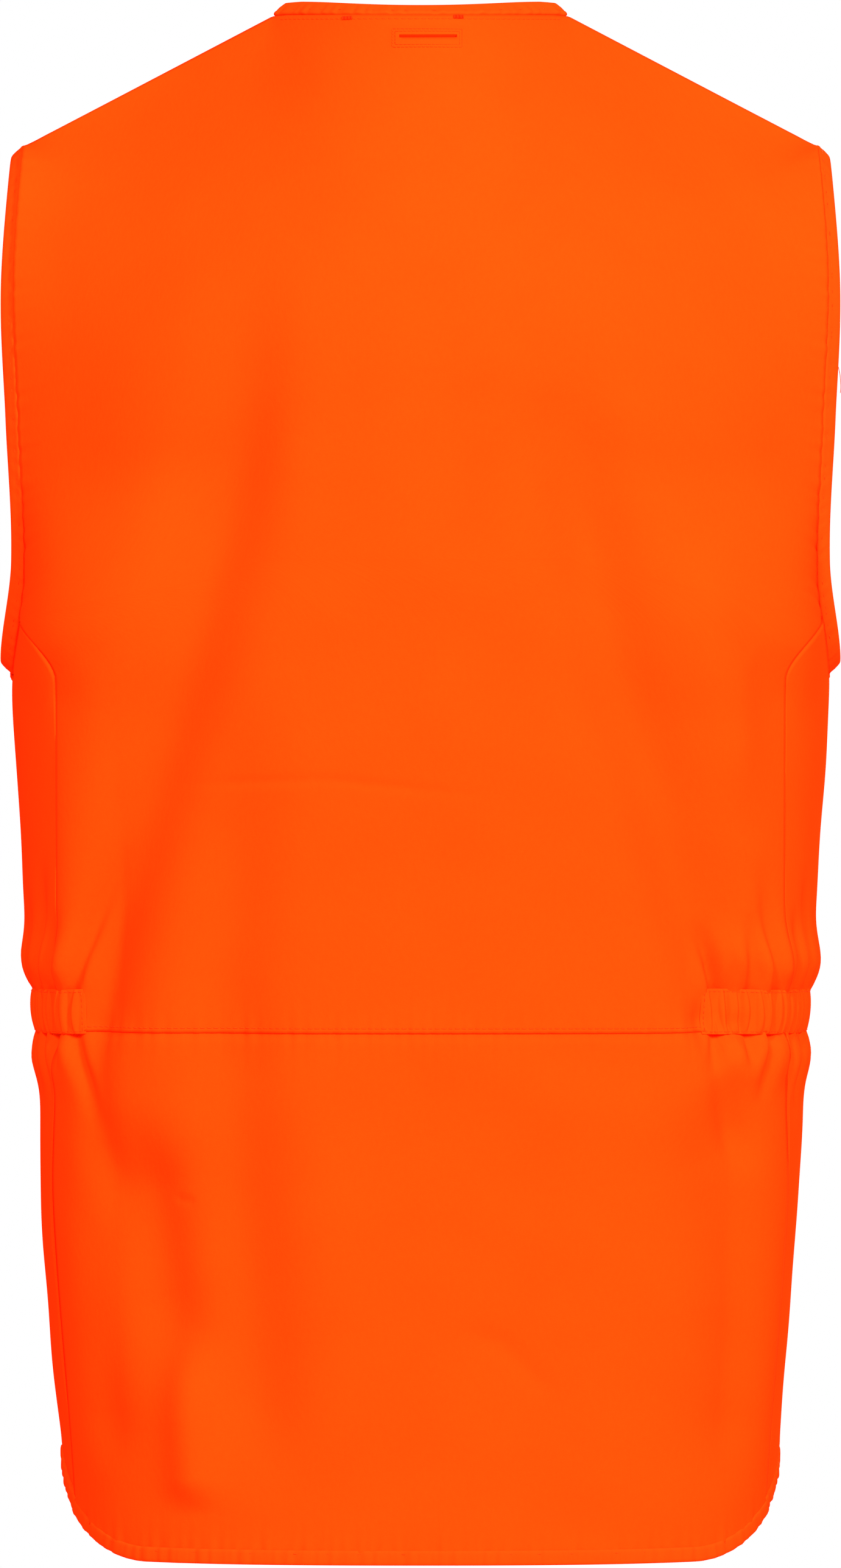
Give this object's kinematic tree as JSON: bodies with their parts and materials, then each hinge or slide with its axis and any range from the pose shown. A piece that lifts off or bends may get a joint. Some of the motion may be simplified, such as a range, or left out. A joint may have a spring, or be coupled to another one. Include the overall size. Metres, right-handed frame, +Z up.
{
  "type": "hunting vest",
  "caption": "Sleeveless blaze orange field vest with a zip front, snap-flap pockets, side waist elastic and a rear game pocket",
  "frame": {"origin": "midway between the two high shoulder points, on the line that joins them", "axes": "+Z up, -Y out of the wearer's back, +X towards the wearer's right"},
  "size_m": [0.4242, 0.2917, 0.7744],
  "materials": {
    "shell": "matt brushed polyester",
    "lining": "matt",
    "binding": "matt folded tape",
    "elastic": "ribbed",
    "zip_tape": "woven tape",
    "zip_teeth": "moulded",
    "metal": "dull",
    "label": "satin tape"
  },
  "bodies": {
    "root": {"back_upper_panel": "shell", "neck_slot_facing": "lining", "back_lower_panel": "shell", "game_pocket_liner": "lining", "back_hem_binding": "binding", "right_side_panel": "shell", "left_side_panel": "shell", "right_side_hem_binding": "binding", "left_side_hem_binding": "binding", "right_front_shoulder": "shell", "left_front_shoulder": "shell", "right_armhole_binding": "binding", "left_armhole_binding": "binding", "back_neck_binding": "binding", "right_neck_binding": "binding", "left_neck_binding": "binding", "left_elastic_casing": "shell", "left_waist_elastic": "elastic", "right_elastic_casing": "shell", "right_waist_elastic": "elastic", "hanger_loop": "lining", "hanger_tack_left": "binding", "hanger_tack_right": "binding", "size_label": "label"},
    "left_front": {"left_front_panel": "shell", "left_front_facing": "lining", "left_front_neck_binding": "binding", "left_front_hem_binding": "binding", "left_zip_tape": "zip_tape", "left_zip_teeth": "zip_teeth", "left_zip_top_stop": "metal", "zip_box": "metal", "left_lower_pocket": "shell", "left_lower_snap_stud": "metal", "left_chest_pocket": "shell", "left_chest_snap_stud": "metal"},
    "left_lower_flap": {"left_lower_flap": "shell", "left_lower_snap_cap": "metal"},
    "left_chest_flap": {"left_chest_flap": "shell", "left_chest_snap_cap": "metal"},
    "right_front": {"right_front_panel": "shell", "right_front_facing": "lining", "right_front_neck_binding": "binding", "right_front_hem_binding": "binding", "right_zip_tape": "zip_tape", "right_zip_teeth": "zip_teeth", "right_zip_top_stop": "metal", "zip_pin": "metal", "right_lower_pocket": "shell", "right_lower_snap_stud": "metal", "right_chest_pocket": "shell", "right_chest_snap_stud": "metal"},
    "right_lower_flap": {"right_lower_flap": "shell", "right_lower_snap_cap": "metal"},
    "right_chest_flap": {"right_chest_flap": "shell", "right_chest_snap_cap": "metal"},
    "zip_slider": {"zip_slider": "metal"},
    "zip_pull": {"zip_pull": "metal"}
  },
  "joints": [
    {"name": "right_front_fold", "type": "hinge", "parent": "root", "child": "right_front", "pos_m": [0.13215, 0.1095, -0.482], "axis": [0.079, -0.0746, -0.9941], "range_deg": [0, 110]},
    {"name": "left_front_fold", "type": "hinge", "parent": "root", "child": "left_front", "pos_m": [-0.13215, 0.1095, -0.482], "axis": [0.079, 0.0746, 0.9941], "range_deg": [0, 110]},
    {"name": "zip_slide", "type": "slide", "parent": "left_front", "child": "zip_slider", "axis": [0, 0.0154, 0.9999], "range_m": [-0.48, 0]},
    {"name": "zip_pull_swing", "type": "hinge", "parent": "zip_slider", "child": "zip_pull", "pos_m": [-0.0023, 0.13947, -0.23706], "axis": [1, 0, 0], "range_deg": [0, 170]},
    {"name": "left_lower_flap_lift", "type": "hinge", "parent": "left_front", "child": "left_lower_flap", "pos_m": [-0.07045, 0.12599, -0.56605], "axis": [0.9784, 0.2069, 0], "range_deg": [0, 90]},
    {"name": "left_chest_flap_lift", "type": "hinge", "parent": "left_front", "child": "left_chest_flap", "pos_m": [-0.05742, 0.13325, -0.26804], "axis": [0.9903, 0.1389, 0], "range_deg": [0, 90]},
    {"name": "right_lower_flap_lift", "type": "hinge", "parent": "right_front", "child": "right_lower_flap", "pos_m": [0.07045, 0.12599, -0.56605], "axis": [0.9784, -0.2069, 0], "range_deg": [0, 90]},
    {"name": "right_chest_flap_lift", "type": "hinge", "parent": "right_front", "child": "right_chest_flap", "pos_m": [0.05742, 0.13325, -0.26804], "axis": [0.9903, -0.1389, 0], "range_deg": [0, 90]}
  ]
}
